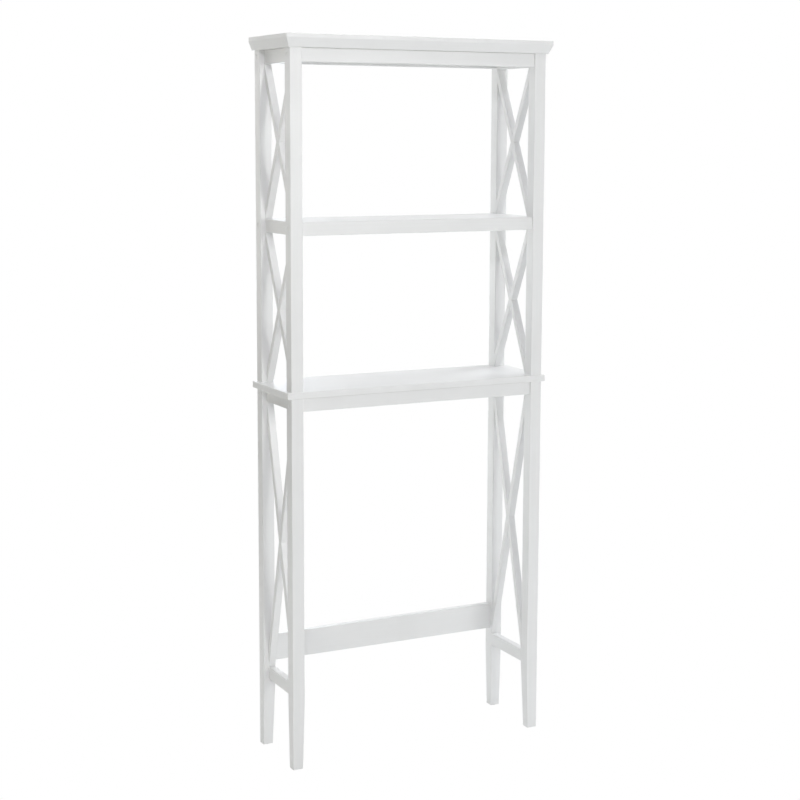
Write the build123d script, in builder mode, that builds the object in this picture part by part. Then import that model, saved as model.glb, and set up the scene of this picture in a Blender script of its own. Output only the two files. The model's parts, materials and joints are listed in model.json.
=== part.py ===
from build123d import *
import math
import os

# Free-standing storage rack that stands over a toilet: two side frames with X lattices,
# joined across by a bevelled top board, two shelves and one low back stretcher.
# Origin on the floor at the middle of the four feet, +X to the right, +Y to the back, +Z up.
# All sizes in millimetres.

# ---- overall ----
total_height = 1600
frame_width = 624        # over the outer faces of the posts
frame_depth = 196        # over the front and back faces of the posts
post_size = 28           # square section of upper posts and legs
edge_radius = 1.5        # softened edges of the painted wood

# ---- top board, bevelled below its lip on the front and the two sides ----
top_thickness = 28
top_lip = 9              # straight edge above the bevel
top_overhang = 12        # past the posts at the front and sides, measured at the lip
bevel_width = 7.5
back_overhang = 5        # of the top and the lower shelf, so that the rack stands close to a wall

# ---- aprons, rails and stretcher ----
rail_thickness = 16
top_apron_height = 30     # front apron and side rails
top_back_apron_height = 28
rail_height = 29         # middle, under-shelf and lower rails, and the lower aprons
apron_recess = 5         # from the front or back face of the posts
stretcher_height = 61
stretcher_bottom = 199
lower_rail_bottom = 158

# ---- shelves ----
mid_shelf_top = 1207
lower_shelf_top = 844
lower_shelf_thickness = 15
shelf_side_overhang = 9
shelf_front_overhang = 2

# ---- legs ----
taper_top = 152          # the two inner faces of each leg taper below this height
foot_width = 23.5
foot_depth = 21.5
glide_height = 2
glide_radius = 7
glide_edge_radius = 0.6

# ---- lattice ----
bar_width = 13
bar_edge_radius = 1

# ---- hardware ----
bolt_radius = 3
bolt_length = 45
bolt_hole_radius = 3.5
head_radius = 5
head_height = 6
hex_across = 5           # key socket in the bolt head
hex_depth = 3.5
bore_radius = 5.5        # counterbore that takes the bolt head and its cap
bore_depth = 8
cap_radius = 5.4
cap_thickness = 1.2
cap_stem_radius = 2.4    # pressed into the key socket
cap_stem_length = 3
nut_radius = 5
nut_length = 12
nut_inset = 20           # from the end of the board to the middle of the nut
nut_gap = 0.1            # around the nut in its hole
thread_gap = 0.02        # between bolt and nut
dowel_radius = 4
dowel_in_post = 12
dowel_in_rail = 16
rail_dowel_spacing = 16
stretcher_dowel_spacing = 40
apron_dowel_length = 24
apron_dowel_pitch = 190
dowel_in_top = 12
dowel_in_shelf = 10
pin_radius = 4
pin_in_leg = 8
pin_in_post = 25
pin_offset = 3           # from the middle of the post towards its outer face
glide_nail_radius = 1.2
glide_nail_length = 12

# ---- worked out ----
outer_x = frame_width / 2
inner_x = outer_x - post_size
outer_y = frame_depth / 2
inner_y = outer_y - post_size
post_x = outer_x - post_size / 2
post_y = outer_y - post_size / 2
rail_x = inner_x + rail_thickness / 2
apron_y = outer_y - apron_recess - rail_thickness / 2
span_x = 2 * inner_x
top_underside = total_height - top_thickness
top_rail_bottom = top_underside - top_apron_height
mid_rail_bottom = mid_shelf_top - rail_height
leg_top = lower_shelf_top - lower_shelf_thickness
under_rail_bottom = leg_top - rail_height
lower_rail_top = lower_rail_bottom + rail_height
stretcher_z = stretcher_bottom + stretcher_height / 2
top_bolt_z = top_rail_bottom + top_apron_height / 2
mid_bolt_z = mid_rail_bottom + rail_height / 2
low_bolt_z = under_rail_bottom + rail_height / 2
lower_rail_z = lower_rail_bottom + rail_height / 2
bolt_seat_x = outer_x - bore_depth
nut_x = inner_x - nut_inset

sides = {"left": -1, "right": 1}
ends = {"front": -1, "back": 1}
apron_dowel_x = [-apron_dowel_pitch, 0, apron_dowel_pitch]
rail_dowel_offsets = (-rail_dowel_spacing / 2, rail_dowel_spacing / 2)
stretcher_dowel_z = (stretcher_z - stretcher_dowel_spacing / 2, stretcher_z + stretcher_dowel_spacing / 2)

# Bolt height and the row of posts that it passes through, front or back.
post_bolts = [(z, end) for z in (top_bolt_z, mid_bolt_z) for end in ends.values()]
leg_bolts = [(low_bolt_z, end) for end in ends.values()] + [(stretcher_z, ends["back"])]

os.makedirs("parts", exist_ok=True)


def save(builder, name):
    builder.part.label = name
    export_step(builder.part, f"parts/{name}.step")


def drill_bolts(bolts, side, end):
    """Counterbored holes through a post, from its outer face, for the bolts of this row."""
    for height, row in bolts:
        if row == end:
            with Locations(Plane(origin=(side * outer_x, end * apron_y, height), z_dir=(side, 0, 0))):
                CounterBoreHole(bolt_hole_radius, bore_radius, bore_depth, depth=post_size)


def drill_rail_dowels(rail_middles, side, end):
    """Two dowel holes per side rail, into the face of the post that looks along the rail."""
    for middle in rail_middles:
        for offset in rail_dowel_offsets:
            face = Plane(origin=(side * rail_x, end * inner_y, middle + offset), z_dir=(0, -end, 0))
            with Locations(face):
                Hole(dowel_radius, depth=dowel_in_post)


# ---- posts and legs ----
def upper_post(side, end):
    with BuildPart() as post:
        with BuildSketch(Plane.XY.offset(lower_shelf_top)):
            with Locations((side * post_x, end * post_y)):
                RectangleRounded(post_size, post_size, edge_radius)
        extrude(amount=top_underside - lower_shelf_top)
        drill_bolts(post_bolts, side, end)
        drill_rail_dowels((top_bolt_z, mid_bolt_z), side, end)
        pin_foot = (side * (post_x + pin_offset), end * post_y, lower_shelf_top)
        with Locations(Plane(origin=pin_foot, z_dir=(0, 0, -1))):
            Hole(pin_radius, depth=pin_in_post)
    return post


def leg(side, end):
    foot_x = outer_x - foot_width / 2
    foot_y = outer_y - foot_depth / 2
    with BuildPart() as body:
        with BuildSketch(Plane.XY.offset(glide_height)):
            with Locations((side * foot_x, end * foot_y)):
                RectangleRounded(foot_width, foot_depth, edge_radius)
        with BuildSketch(Plane.XY.offset(taper_top)):
            with Locations((side * post_x, end * post_y)):
                RectangleRounded(post_size, post_size, edge_radius)
        loft()
        with BuildSketch(Plane.XY.offset(taper_top)):
            with Locations((side * post_x, end * post_y)):
                RectangleRounded(post_size, post_size, edge_radius)
        extrude(amount=leg_top - taper_top)
        drill_bolts(leg_bolts, side, end)
        drill_rail_dowels((low_bolt_z, lower_rail_z), side, end)
        with Locations((side * (post_x + pin_offset), end * post_y, leg_top)):
            Hole(pin_radius, depth=pin_in_leg)
        if end == ends["back"]:
            for z in stretcher_dowel_z:
                with Locations(Plane(origin=(side * inner_x, end * apron_y, z), z_dir=(-side, 0, 0))):
                    Hole(dowel_radius, depth=dowel_in_post)
        with Locations(Plane(origin=(side * foot_x, end * foot_y, glide_height), z_dir=(0, 0, -1))):
            Hole(glide_nail_radius, depth=glide_nail_length)
    return body


def foot_glide(side, end):
    """Plastic pad with a nail that holds it under the foot."""
    foot_x = side * (outer_x - foot_width / 2)
    foot_y = end * (outer_y - foot_depth / 2)
    with BuildPart() as glide:
        with BuildSketch():
            with Locations((foot_x, foot_y)):
                Circle(glide_radius)
        extrude(amount=glide_height)
        fillet(glide.faces().sort_by(Axis.Z)[0].edges(), glide_edge_radius)
        with BuildSketch(Plane.XY.offset(glide_height)):
            with Locations((foot_x, foot_y)):
                Circle(glide_nail_radius)
        extrude(amount=glide_nail_length)
    return glide


# ---- boards that run across, along X ----
def drill_apron_dowels(underside, depth):
    """Dowel holes up into the underside of the top board or of the lower shelf."""
    for end in ends.values():
        for x in apron_dowel_x:
            with Locations(Plane(origin=(x, end * apron_y, underside), z_dir=(0, 0, -1))):
                Hole(dowel_radius, depth=depth)


def cross_board(depth, height, middle_y, middle_z):
    """Board between the two side frames, with the four long edges rounded."""
    with Locations((0, middle_y, middle_z)):
        Box(span_x, depth, height)
    fillet(edges().filter_by(Axis.X), edge_radius)


def drill_end_bolts(y, z):
    """A bolt hole into each end of a board."""
    for side in sides.values():
        with Locations(Plane(origin=(side * inner_x, y, z), z_dir=(side, 0, 0))):
            Hole(bolt_hole_radius, depth=nut_inset + nut_radius)


def drill_barrel_nuts(face_point, face_direction, depth):
    """Blind holes for the barrel nuts, one near each end, drilled from one face of a board."""
    for side in sides.values():
        point = (side * nut_x, face_point[0], face_point[1])
        with Locations(Plane(origin=point, z_dir=face_direction)):
            Hole(nut_radius + nut_gap, depth=depth)


def apron(end, top, height, bolt_z, dowel_depth):
    """Front or back apron, dowelled to the board above and bolted to the posts."""
    with BuildPart() as board:
        cross_board(rail_thickness, height, end * apron_y, top - height / 2)
        drill_end_bolts(end * apron_y, bolt_z)
        inner_face = end * (apron_y - rail_thickness / 2)
        drill_barrel_nuts((inner_face, bolt_z), (0, -end, 0), (rail_thickness + nut_length) / 2)
        with Locations(*[(x, end * apron_y, top) for x in apron_dowel_x]):
            Hole(dowel_radius, depth=dowel_depth)
    return board


def back_stretcher():
    with BuildPart() as board:
        cross_board(rail_thickness, stretcher_height, apron_y, stretcher_z)
        drill_end_bolts(apron_y, stretcher_z)
        back_face = apron_y + rail_thickness / 2
        drill_barrel_nuts((back_face, stretcher_z), (0, 1, 0), (rail_thickness + nut_length) / 2)
        for side in sides.values():
            for z in stretcher_dowel_z:
                with Locations(Plane(origin=(side * inner_x, apron_y, z), z_dir=(side, 0, 0))):
                    Hole(dowel_radius, depth=dowel_in_rail)
    return board


def mid_shelf():
    with BuildPart() as shelf:
        cross_board(frame_depth - 2 * apron_recess, rail_height, 0, mid_bolt_z)
        for end in ends.values():
            drill_end_bolts(end * apron_y, mid_bolt_z)
            drill_barrel_nuts((end * apron_y, mid_rail_bottom), (0, 0, -1), (rail_height + nut_length) / 2)
    return shelf


def overhanging_board(width, front, thickness, underside):
    """Plain board over the posts, from its front edge to the shared back overhang."""
    back = outer_y + back_overhang
    with Locations((0, (back - front) / 2, underside + thickness / 2)):
        Box(width, front + back, thickness)


def lower_shelf():
    with BuildPart() as shelf:
        width = frame_width + 2 * shelf_side_overhang
        overhanging_board(width, outer_y + shelf_front_overhang, lower_shelf_thickness, leg_top)
        fillet(shelf.edges(), edge_radius)
        for side in sides.values():
            for end in ends.values():
                with Locations((side * (post_x + pin_offset), end * post_y, lower_shelf_top)):
                    Hole(pin_radius, depth=lower_shelf_thickness)
        drill_apron_dowels(leg_top, dowel_in_shelf)
    return shelf


def top_board():
    with BuildPart() as board:
        width = frame_width + 2 * top_overhang
        overhanging_board(width, outer_y + top_overhang, top_thickness, top_underside)
        underside = board.faces().sort_by(Axis.Z)[0]
        front_and_sides = underside.edges().sort_by(Axis.Y)[:-1]
        chamfer(front_and_sides, bevel_width, top_thickness - top_lip, reference=underside)
        underside = board.faces().sort_by(Axis.Z)[0]
        fillet(board.edges() - underside.edges(), edge_radius)
        drill_apron_dowels(top_underside, dowel_in_top)
    return board


# ---- side frames ----
def side_rail(side, bottom, height):
    with BuildPart() as rail:
        with BuildSketch(Plane.XZ):
            with Locations((side * rail_x, bottom + height / 2)):
                RectangleRounded(rail_thickness, height, edge_radius)
        extrude(amount=inner_y, both=True)
        for end in ends.values():
            for offset in rail_dowel_offsets:
                point = (side * rail_x, end * inner_y, bottom + height / 2 + offset)
                with Locations(Plane(origin=point, z_dir=(0, end, 0))):
                    Hole(dowel_radius, depth=dowel_in_rail)
    return rail


def bar_angle(bottom, top):
    """Slope of a bar whose two long edges run through opposite corners of the opening."""
    reach = 2 * inner_y
    height = top - bottom
    return math.atan2(height, reach) - math.asin(bar_width / math.hypot(height, reach))


def bar_outline(bottom, top, slope):
    """Strip across an opening, cut upright at both posts: slope 1 rises to the back, -1 to the front."""
    cut = bar_width / math.cos(bar_angle(bottom, top))
    return [
        (-slope * inner_y, bottom),
        (slope * inner_y, top - cut),
        (slope * inner_y, top),
        (-slope * inner_y, bottom + cut),
    ]


def lattice_bar(side, bottom, top, slope):
    """One bar of an X. The two bars are halved into each other, so their faces are flush."""
    inner_face = min(side * inner_x, side * (inner_x + rail_thickness))
    notch_face = inner_face if slope > 0 else inner_face + rail_thickness / 2
    angle = bar_angle(bottom, top)
    with BuildPart() as bar:
        with BuildSketch(Plane.YZ.offset(inner_face)):
            Polygon(*bar_outline(bottom, top, slope), align=None)
        extrude(amount=rail_thickness)
        direction = (0, slope * math.cos(angle), math.sin(angle))
        fillet(bar.edges().filter_by(Axis((0, 0, 0), direction)), bar_edge_radius)
        with BuildSketch(Plane.YZ.offset(notch_face)):
            Polygon(*bar_outline(bottom, top, -slope), align=None)
        extrude(amount=rail_thickness / 2, mode=Mode.SUBTRACT)
    return bar


# ---- hardware, each kind in one node ----
def bolt_places():
    """Seat of each bolt head: side, y and height."""
    return [(side, end * apron_y, z) for side in sides.values() for z, end in post_bolts + leg_bolts]


def frame_bolts():
    with BuildPart() as bolts:
        for side, y, z in bolt_places():
            seat = Plane(origin=(side * bolt_seat_x, y, z), z_dir=(side, 0, 0))
            with BuildSketch(seat):
                Circle(head_radius)
            extrude(amount=head_height)
            with BuildSketch(seat.offset(head_height)):
                RegularPolygon(hex_across / 2, 6, major_radius=False)
            extrude(amount=-hex_depth, mode=Mode.SUBTRACT)
            with BuildSketch(seat):
                Circle(bolt_radius - thread_gap)
            extrude(amount=-bolt_length)
    return bolts


def bolt_caps():
    """Thin round cover on each bolt head, just below the face of the post."""
    with BuildPart() as caps:
        for side, y, z in bolt_places():
            head_top = Plane(origin=(side * (bolt_seat_x + head_height), y, z), z_dir=(side, 0, 0))
            with BuildSketch(head_top):
                Circle(cap_radius)
            extrude(amount=cap_thickness)
            with BuildSketch(head_top):
                Circle(cap_stem_radius)
            extrude(amount=-cap_stem_length)
    return caps


def barrel_nuts():
    """Cross dowels: upright in the middle shelf, along Y in the aprons and the stretcher."""
    with BuildPart() as nuts:
        for side, y, z in bolt_places():
            direction = (0, 0, 1) if z == mid_bolt_z else (0, 1, 0)
            with BuildSketch(Plane(origin=(side * nut_x, y, z), z_dir=direction)):
                Circle(nut_radius)
            extrude(amount=nut_length / 2, both=True)
        for side, y, z in bolt_places():
            with Locations(Plane(origin=(side * (nut_x + nut_radius), y, z), z_dir=(side, 0, 0))):
                Hole(bolt_radius, depth=2 * nut_radius)
    return nuts


def rods(radius, length, starts):
    """Plain round rods: each start is a plane whose normal the rod follows."""
    with BuildPart() as group:
        for start in starts:
            with BuildSketch(start):
                Circle(radius)
            extrude(amount=length)
    return group


def rail_dowels():
    starts = []
    for side in sides.values():
        for end in ends.values():
            for middle in (top_bolt_z, mid_bolt_z, low_bolt_z, lower_rail_z):
                for offset in rail_dowel_offsets:
                    point = (side * rail_x, end * (inner_y + dowel_in_post), middle + offset)
                    starts.append(Plane(origin=point, z_dir=(0, -end, 0)))
    return rods(dowel_radius, dowel_in_post + dowel_in_rail, starts)


def stretcher_dowels():
    starts = []
    for side in sides.values():
        for z in stretcher_dowel_z:
            point = (side * (inner_x + dowel_in_post), apron_y, z)
            starts.append(Plane(origin=point, z_dir=(-side, 0, 0)))
    return rods(dowel_radius, dowel_in_post + dowel_in_rail, starts)


def apron_dowels():
    starts = []
    for dowel_top in (top_underside + dowel_in_top, leg_top + dowel_in_shelf):
        for end in ends.values():
            for x in apron_dowel_x:
                starts.append(Plane(origin=(x, end * apron_y, dowel_top), z_dir=(0, 0, -1)))
    return rods(dowel_radius, apron_dowel_length, starts)


def corner_pins():
    starts = []
    for side in sides.values():
        for end in ends.values():
            point = (side * (post_x + pin_offset), end * post_y, leg_top - pin_in_leg)
            starts.append(Plane(origin=point, z_dir=(0, 0, 1)))
    return rods(pin_radius, pin_in_leg + lower_shelf_thickness + pin_in_post, starts)


save(top_board(), "top_board")
save(mid_shelf(), "mid_shelf")
save(lower_shelf(), "lower_shelf")
save(back_stretcher(), "back_stretcher")

rails = {
    "top_side_rail": (top_rail_bottom, top_apron_height),
    "mid_side_rail": (mid_rail_bottom, rail_height),
    "under_shelf_side_rail": (under_rail_bottom, rail_height),
    "lower_side_rail": (lower_rail_bottom, rail_height),
}
lattices = {
    "upper_lattice": (mid_shelf_top, top_rail_bottom),
    "middle_lattice": (lower_shelf_top, mid_rail_bottom),
    "leg_lattice": (lower_rail_top, under_rail_bottom),
}

top_apron_heights = {"front": top_apron_height, "back": top_back_apron_height}
top_dowel_depth = apron_dowel_length - dowel_in_top
lower_dowel_depth = apron_dowel_length - dowel_in_shelf
for end_name, end in ends.items():
    top_apron = apron(end, top_underside, top_apron_heights[end_name], top_bolt_z, top_dowel_depth)
    save(top_apron, f"top_{end_name}_apron")
    save(apron(end, leg_top, rail_height, low_bolt_z, lower_dowel_depth), f"lower_{end_name}_apron")

for side_name, side in sides.items():
    for end_name, end in ends.items():
        save(upper_post(side, end), f"upper_post_{end_name}_{side_name}")
        save(leg(side, end), f"leg_{end_name}_{side_name}")
        save(foot_glide(side, end), f"foot_glide_{end_name}_{side_name}")
    for rail_name, (bottom, height) in rails.items():
        save(side_rail(side, bottom, height), f"{rail_name}_{side_name}")
    for lattice_name, (bottom, top) in lattices.items():
        for bar_name, slope in (("rising", 1), ("falling", -1)):
            save(lattice_bar(side, bottom, top, slope), f"{lattice_name}_{bar_name}_{side_name}")

save(frame_bolts(), "frame_bolts")
save(bolt_caps(), "bolt_caps")
save(barrel_nuts(), "barrel_nuts")
save(rail_dowels(), "rail_dowels")
save(stretcher_dowels(), "stretcher_dowels")
save(apron_dowels(), "apron_dowels")
save(corner_pins(), "corner_pins")
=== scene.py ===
import json
import math

import bpy
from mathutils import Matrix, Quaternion, Vector


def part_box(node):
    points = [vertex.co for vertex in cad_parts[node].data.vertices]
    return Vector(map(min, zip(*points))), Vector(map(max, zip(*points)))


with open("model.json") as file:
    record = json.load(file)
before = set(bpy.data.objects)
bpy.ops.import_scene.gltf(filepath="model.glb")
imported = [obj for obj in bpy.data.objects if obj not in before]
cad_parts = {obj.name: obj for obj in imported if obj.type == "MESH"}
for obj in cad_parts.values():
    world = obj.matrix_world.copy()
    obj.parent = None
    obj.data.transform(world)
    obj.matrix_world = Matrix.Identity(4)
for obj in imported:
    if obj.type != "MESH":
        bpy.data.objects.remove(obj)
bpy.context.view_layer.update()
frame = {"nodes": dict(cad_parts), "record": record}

# ---- camera, metres and degrees: a separate fit to the edges in the photo gave its place, turn and lens ----
CAMERA_PLACE = (-1.6911, -3.3459, 1.4005)
CAMERA_HEADING = 26.770       # turned from straight at the front towards the rack's right
CAMERA_PITCH = -7.834
CAMERA_ROLL = 0.197
CAMERA_LENS_MM = 75.09
CAMERA_SENSOR_MM = 36
CAMERA_SHIFT_Y = -0.05

# ---- light: a small key at the front left and softboxes all round, none of them seen by the camera ----
SURROUND_STRENGTH = 1.21      # of the white paper behind the rack, as the paint reflects it
# A separate fit to the tones in the photo chose these lamps, their watts and colours, and the surround.
# Only the overhead's side and watts were then set.
# Name, degrees round the rack (0 in front, 90 at its right), distance, height, side, watts, colour.
LAMPS = (
    ("key", -28, 3.4, 2.7, 0.3, 27.1, (0.94, 0.93, 1.00)),
    ("overhead", 0, 0.01, 3.2, 3.6, 56.0, (0.99, 1.00, 0.99)),
    ("front_left", -35, 2.2, 1.2, 1.0, 7.7, (0.99, 1.00, 0.94)),
    ("front_right", 15, 3.4, 1.6, 1.0, 32.8, (0.99, 1.00, 0.98)),
    ("right_low", 70, 2.2, 0.7, 1.0, 6.0, (0.90, 0.95, 1.00)),
    ("right", 100, 2.2, 2.0, 1.0, 32.6, (0.93, 0.96, 1.00)),
    ("back", 180, 1.8, 1.3, 1.0, 5.8, (0.82, 0.88, 1.00)),
    ("back_low", 180, 1.8, 0.5, 1.0, 12.6, (0.95, 1.00, 1.00)),
    ("back_left", -160, 1.8, 1.3, 1.0, 4.5, (1.00, 1.00, 0.95)),
    ("left_low", -100, 2.2, 0.7, 1.0, 6.5, (1.00, 0.98, 0.89)),
)
AIM_BASE = 0.4                # a lamp on the floor would face this height,
AIM_RISE = 0.5                # each metre up lifts its aim by this much,
AIM_TOP = 1.0                 # and no lamp is aimed above this
WHITE = (1, 1, 1, 1)

# ---- floor ----
FLOOR_SIDE = 60
FLOOR_COLOUR = (0.93, 0.93, 0.93, 1)

# ---- white satin paint ----
PAINT_COLOUR = (0.80, 0.80, 0.80)
PAINT_SHADE = (0.765, 0.765, 0.762)
PAINT_ROUGHNESS = 0.38
CLOUD_SHARE = 0.7             # of the paint's tone, and the grain has the rest

# ---- hardware: dark colour, light colour and roughness ----
BOLT_STEEL = ((0.42, 0.42, 0.43), (0.66, 0.66, 0.67), 0.38)
BRIGHT_ZINC = ((0.50, 0.50, 0.51), (0.72, 0.72, 0.73), 0.32)
BEECH = ((0.42, 0.25, 0.12), (0.66, 0.46, 0.27), 0.6)
GLIDE_NYLON = ((0.60, 0.59, 0.56), (0.68, 0.67, 0.64), 0.5)
CAP_PLASTIC = ((0.76, 0.76, 0.75), (0.81, 0.81, 0.80), 0.42)

# ---- textures ----
PIECE_SHIFT = 7.0             # the most that one piece's texture is moved from another's, in metres
NOISE_LOW = 0.3               # nearly all of a noise lies between these two
NOISE_HIGH = 0.7


# ---- node helpers ----
def add(tree, kind, inputs=None, **settings):
    """A new shader node with its settings, and its inputs by name or number: each a socket or a value."""
    node = tree.nodes.new(kind)
    for name, value in settings.items():
        setattr(node, name, value)
    for key, value in (inputs or {}).items():
        if isinstance(value, bpy.types.NodeSocket):
            tree.links.new(value, node.inputs[key])
        else:
            node.inputs[key].default_value = value
    return node


def new_material(name):
    material = bpy.data.materials.new(name)
    material.use_nodes = True
    material.node_tree.nodes.clear()
    return material, material.node_tree


def finish_material(tree, inputs):
    shader = add(tree, "ShaderNodeBsdfPrincipled", inputs)
    add(tree, "ShaderNodeOutputMaterial", {"Surface": shader.outputs[0]})


def mixed_colour(tree, factor, dark, light):
    """A Mix node set to colours: its inputs 6 and 7 are the two colours, and its output 2 is the result."""
    inputs = {"Factor": factor, 6: (*dark, 1), 7: (*light, 1)}
    return add(tree, "ShaderNodeMix", inputs, data_type="RGBA").outputs[2]


def remapped(tree, value, low, high, out_low, out_high):
    ends = {"From Min": low, "From Max": high, "To Min": out_low, "To Max": out_high}
    return add(tree, "ShaderNodeMapRange", {"Value": value, **ends}).outputs["Result"]


def along_grain(tree, direction):
    """Coordinates in metres with X along the board's length, and shifted from piece to piece."""
    along = Vector(direction).normalized()
    # The helper only has to point away from the board's length.
    helper = Vector((1, 0, 0)) if abs(along.x) < 0.9 else Vector((0, 1, 0))
    across = along.cross(helper).normalized()
    through = along.cross(across)
    position = add(tree, "ShaderNodeTexCoord").outputs["Object"]
    distances = {}
    for number, axis in enumerate((along, across, through)):
        dot = add(tree, "ShaderNodeVectorMath", {0: position, 1: axis}, operation="DOT_PRODUCT")
        distances[number] = dot.outputs["Value"]
    turned = add(tree, "ShaderNodeCombineXYZ", distances).outputs[0]
    chance = add(tree, "ShaderNodeObjectInfo").outputs["Random"]
    shift = add(tree, "ShaderNodeMath", {0: chance, 1: PIECE_SHIFT}, operation="MULTIPLY").outputs[0]
    return add(tree, "ShaderNodeVectorMath", {0: turned, 1: shift}, operation="ADD").outputs[0]


def noise(tree, vector, cells_per_metre, detail, stretch=(1, 1, 1)):
    """Noise of about 0 to 1. A stretch below 1 draws it out along that axis."""
    stretched = add(tree, "ShaderNodeMapping", {"Vector": vector, "Scale": stretch}).outputs[0]
    inputs = {"Vector": stretched, "Scale": cells_per_metre, "Detail": detail}
    return add(tree, "ShaderNodeTexNoise", inputs).outputs["Fac"]


def bumped(tree, height, strength, metres, under=None):
    """The normal of a surface with a texture this high on it, over the normal under it if one is given."""
    inputs = {"Height": height, "Strength": strength, "Distance": metres}
    if under is not None:
        inputs["Normal"] = under
    return add(tree, "ShaderNodeBump", inputs).outputs[0]


# ---- materials ----
def white_paint(name, direction):
    """Satin paint over close-grained wood: faint grain along the board, and a fine sprayed texture."""
    material, tree = new_material(name)
    vector = along_grain(tree, direction)
    cloud = noise(tree, vector, cells_per_metre=14, detail=2)
    grain = noise(tree, vector, cells_per_metre=260, detail=4, stretch=(0.035, 1, 1))
    peel = noise(tree, vector, cells_per_metre=900, detail=2)
    grain_tone = remapped(tree, grain, NOISE_LOW, NOISE_HIGH, 0, 1 - CLOUD_SHARE)
    tone = add(tree, "ShaderNodeMath", {0: cloud, 1: CLOUD_SHARE, 2: grain_tone}, operation="MULTIPLY_ADD")
    smoothest = PAINT_ROUGHNESS - 0.05
    roughest = PAINT_ROUGHNESS + 0.06
    grain_normal = bumped(tree, grain, strength=0.35, metres=0.00012)
    finish_material(tree, {
        "Base Color": mixed_colour(tree, tone.outputs[0], PAINT_SHADE, PAINT_COLOUR),
        "Roughness": remapped(tree, cloud, NOISE_LOW, NOISE_HIGH, smoothest, roughest),
        "Normal": bumped(tree, peel, strength=0.4, metres=0.00006, under=grain_normal),
    })
    return material


def steel(name, dark, light, roughness):
    """Plated steel: fine turning lines and a mottled plating."""
    material, tree = new_material(name)
    vector = along_grain(tree, (1, 0, 0))
    mottle = noise(tree, vector, cells_per_metre=350, detail=3)
    lines = noise(tree, vector, cells_per_metre=1800, detail=2, stretch=(1, 0.15, 0.15))
    smoothest = roughness - 0.08
    roughest = roughness + 0.10
    finish_material(tree, {
        "Base Color": mixed_colour(tree, mottle, dark, light),
        "Roughness": remapped(tree, mottle, NOISE_LOW, NOISE_HIGH, smoothest, roughest),
        "Normal": bumped(tree, lines, strength=0.3, metres=0.00004),
        "Metallic": 1.0,
    })
    return material


def bare_beech(name, dark, light, roughness):
    """Pale beech with short dark flecks along the grain, which runs front to back as most dowels do."""
    material, tree = new_material(name)
    vector = along_grain(tree, (0, 1, 0))
    grain = noise(tree, vector, cells_per_metre=500, detail=4, stretch=(0.05, 1, 1))
    flecks = noise(tree, vector, cells_per_metre=1400, detail=2, stretch=(0.12, 1, 1))
    both = add(tree, "ShaderNodeMath", {0: grain, 1: flecks}, operation="MULTIPLY").outputs[0]
    tone = remapped(tree, both, 0.12, 0.4, 0, 1)
    finish_material(tree, {
        "Base Color": mixed_colour(tree, tone, dark, light),
        "Roughness": roughness,
        "Normal": bumped(tree, grain, strength=0.5, metres=0.0001),
    })
    return material


def moulded_plastic(name, dark, light, roughness):
    """Foot glides and bolt caps: faintly mottled, with a fine spark texture."""
    material, tree = new_material(name)
    vector = along_grain(tree, (0, 0, 1))
    mottle = noise(tree, vector, cells_per_metre=300, detail=2)
    spark = noise(tree, vector, cells_per_metre=2500, detail=2)
    finish_material(tree, {
        "Base Color": mixed_colour(tree, mottle, dark, light),
        "Roughness": roughness,
        "Normal": bumped(tree, spark, strength=0.4, metres=0.00005),
    })
    return material


def pale_floor(name):
    """Matt off-white that throws light back up, and that the camera sees as plain white."""
    material, tree = new_material(name)
    matt = add(tree, "ShaderNodeBsdfDiffuse", {"Color": FLOOR_COLOUR}).outputs[0]
    seen = add(tree, "ShaderNodeEmission", {"Color": WHITE}).outputs[0]
    path = add(tree, "ShaderNodeLightPath").outputs["Is Camera Ray"]
    both = add(tree, "ShaderNodeMixShader", {0: path, 1: matt, 2: seen}).outputs[0]
    add(tree, "ShaderNodeOutputMaterial", {"Surface": both})
    return material


# ---- finish each CAD node ----
def paint_direction(node):
    """Corner to corner of a lattice bar's box, and along the longest side of any other piece's box."""
    low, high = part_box(node)
    size = high - low
    if "lattice" in node:
        rise = 1 if "rising" in node else -1
        return Vector((0, rise * size.y, size.z)).normalized()
    longest = max(range(3), key=lambda axis: size[axis])
    direction = Vector((0, 0, 0))
    direction[longest] = 1
    return direction


def assign(node, material):
    node.data.materials.clear()
    node.data.materials.append(material)


def finish_nodes():
    """Each node gets its slot's material. Painted boards that run the same way share one paint."""
    slots = {row["node"]: row["material_slot"] for row in frame["record"]["subparts"]}
    others = {
        "bolt_steel": steel("zinc_bolts", *BOLT_STEEL),
        "plated_steel": steel("bright_zinc", *BRIGHT_ZINC),
        "dowel_wood": bare_beech("bare_beech", *BEECH),
        "glide_plastic": moulded_plastic("nylon_glides", *GLIDE_NYLON),
        "cap_plastic": moulded_plastic("white_caps", *CAP_PLASTIC),
    }
    paints = {}
    for name, node in frame["nodes"].items():
        if slots[name] in others:
            assign(node, others[slots[name]])
            continue
        # Rounded, so that boards in one direction match whatever their sizes.
        direction = tuple(round(value, 4) for value in paint_direction(name))
        if direction not in paints:
            paints[direction] = white_paint(f"white_paint_{len(paints) + 1}", direction)
        assign(node, paints[direction])


finish_nodes()


# ---- floor ----
def make_floor():
    half = FLOOR_SIDE / 2
    corners = [(-half, -half, 0), (half, -half, 0), (half, half, 0), (-half, half, 0)]
    mesh = bpy.data.meshes.new("floor")
    mesh.from_pydata(corners, [], [(0, 1, 2, 3)])
    mesh.materials.append(pale_floor("pale_floor"))
    floor = bpy.data.objects.new("floor", mesh)
    bpy.context.scene.collection.objects.link(floor)


make_floor()


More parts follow.
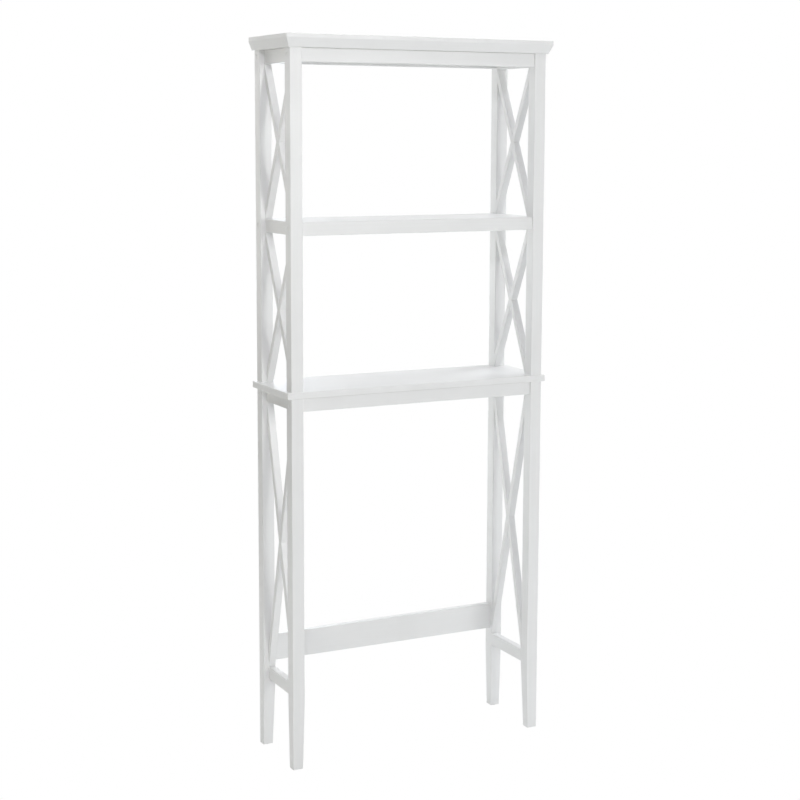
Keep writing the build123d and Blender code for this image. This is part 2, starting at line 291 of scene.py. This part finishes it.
# ---- light ----
def make_world():
    """Plain white for the camera. Reflections see white paper behind the rack that fades to the front."""
    world = bpy.data.worlds.new("studio")
    world.use_nodes = True
    tree = world.node_tree
    tree.nodes.clear()
    direction = add(tree, "ShaderNodeTexCoord").outputs["Generated"]
    backwards = add(tree, "ShaderNodeSeparateXYZ", {0: direction}).outputs["Y"]
    paper = remapped(tree, backwards, -1, 1, 0, SURROUND_STRENGTH)
    path = add(tree, "ShaderNodeLightPath").outputs
    rays = {0: paper, 1: path["Is Glossy Ray"], 2: path["Is Camera Ray"]}
    strength = add(tree, "ShaderNodeMath", rays, operation="MULTIPLY_ADD").outputs[0]
    white = add(tree, "ShaderNodeBackground", {"Color": WHITE, "Strength": strength}).outputs[0]
    add(tree, "ShaderNodeOutputWorld", {"Surface": white})
    bpy.context.scene.world = world


def make_lamp(name, angle, distance, height, side, watts, colour):
    """A square soft light that faces the rack."""
    light = bpy.data.lights.new(name, "AREA")
    light.size = side
    light.energy = watts
    light.color = colour
    turn = math.radians(angle)
    place = Vector((math.sin(turn) * distance, -math.cos(turn) * distance, height))
    aim = Vector((0, 0, min(AIM_BASE + AIM_RISE * height, AIM_TOP)))
    lamp = bpy.data.objects.new(name, light)
    lamp.location = place
    lamp.rotation_mode = "QUATERNION"
    lamp.rotation_quaternion = (place - aim).to_track_quat("Z", "Y")
    lamp.visible_camera = False
    bpy.context.scene.collection.objects.link(lamp)


make_world()
for lamp_values in LAMPS:
    make_lamp(*lamp_values)


# ---- camera ----
def make_camera():
    heading = math.radians(CAMERA_HEADING)
    pitch = math.radians(CAMERA_PITCH)
    level = math.cos(pitch)
    aim = Vector((math.sin(heading) * level, math.cos(heading) * level, math.sin(pitch)))
    roll = Quaternion((0, 0, 1), math.radians(CAMERA_ROLL))
    data = bpy.data.cameras.new("camera")
    data.lens = CAMERA_LENS_MM
    data.sensor_width = CAMERA_SENSOR_MM
    data.shift_y = CAMERA_SHIFT_Y
    camera = bpy.data.objects.new("camera", data)
    camera.location = CAMERA_PLACE
    camera.rotation_mode = "QUATERNION"
    camera.rotation_quaternion = aim.to_track_quat("-Z", "Y") @ roll
    bpy.context.scene.collection.objects.link(camera)
    bpy.context.scene.camera = camera


make_camera()
bpy.context.scene.view_settings.view_transform = "Standard"
